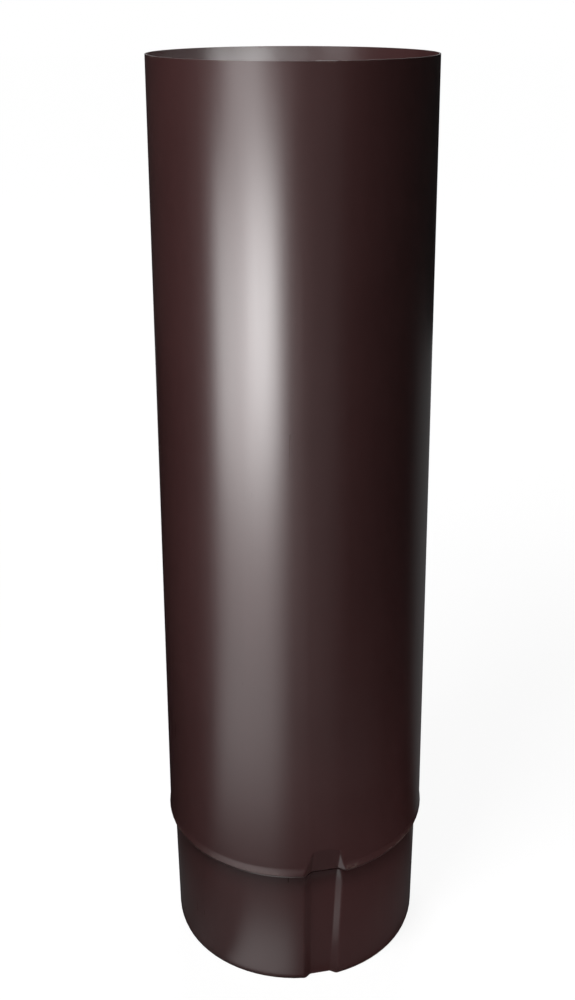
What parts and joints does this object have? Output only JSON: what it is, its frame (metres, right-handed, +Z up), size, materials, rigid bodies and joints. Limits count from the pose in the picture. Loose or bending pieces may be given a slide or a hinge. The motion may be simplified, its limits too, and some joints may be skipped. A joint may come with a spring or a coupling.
{
  "type": "downpipe",
  "caption": "Round rainwater downpipe in coated sheet steel with an inner lock seam and a swaged, grooved spigot at its lower end.",
  "frame": {"origin": "on the pipe's axis, at the foot of the spigot, which the pipe stands on", "axes": "+Z up along the pipe from the spigot to the open rim; the lock seam and its groove face -Y"},
  "size_m": [0.0906, 0.0903, 0.306],
  "materials": {
    "coated_steel": "satin dark brown polyester coat on galvanized sheet"
  },
  "bodies": {
    "root": {"downpipe": "coated_steel"}
  },
  "joints": []
}
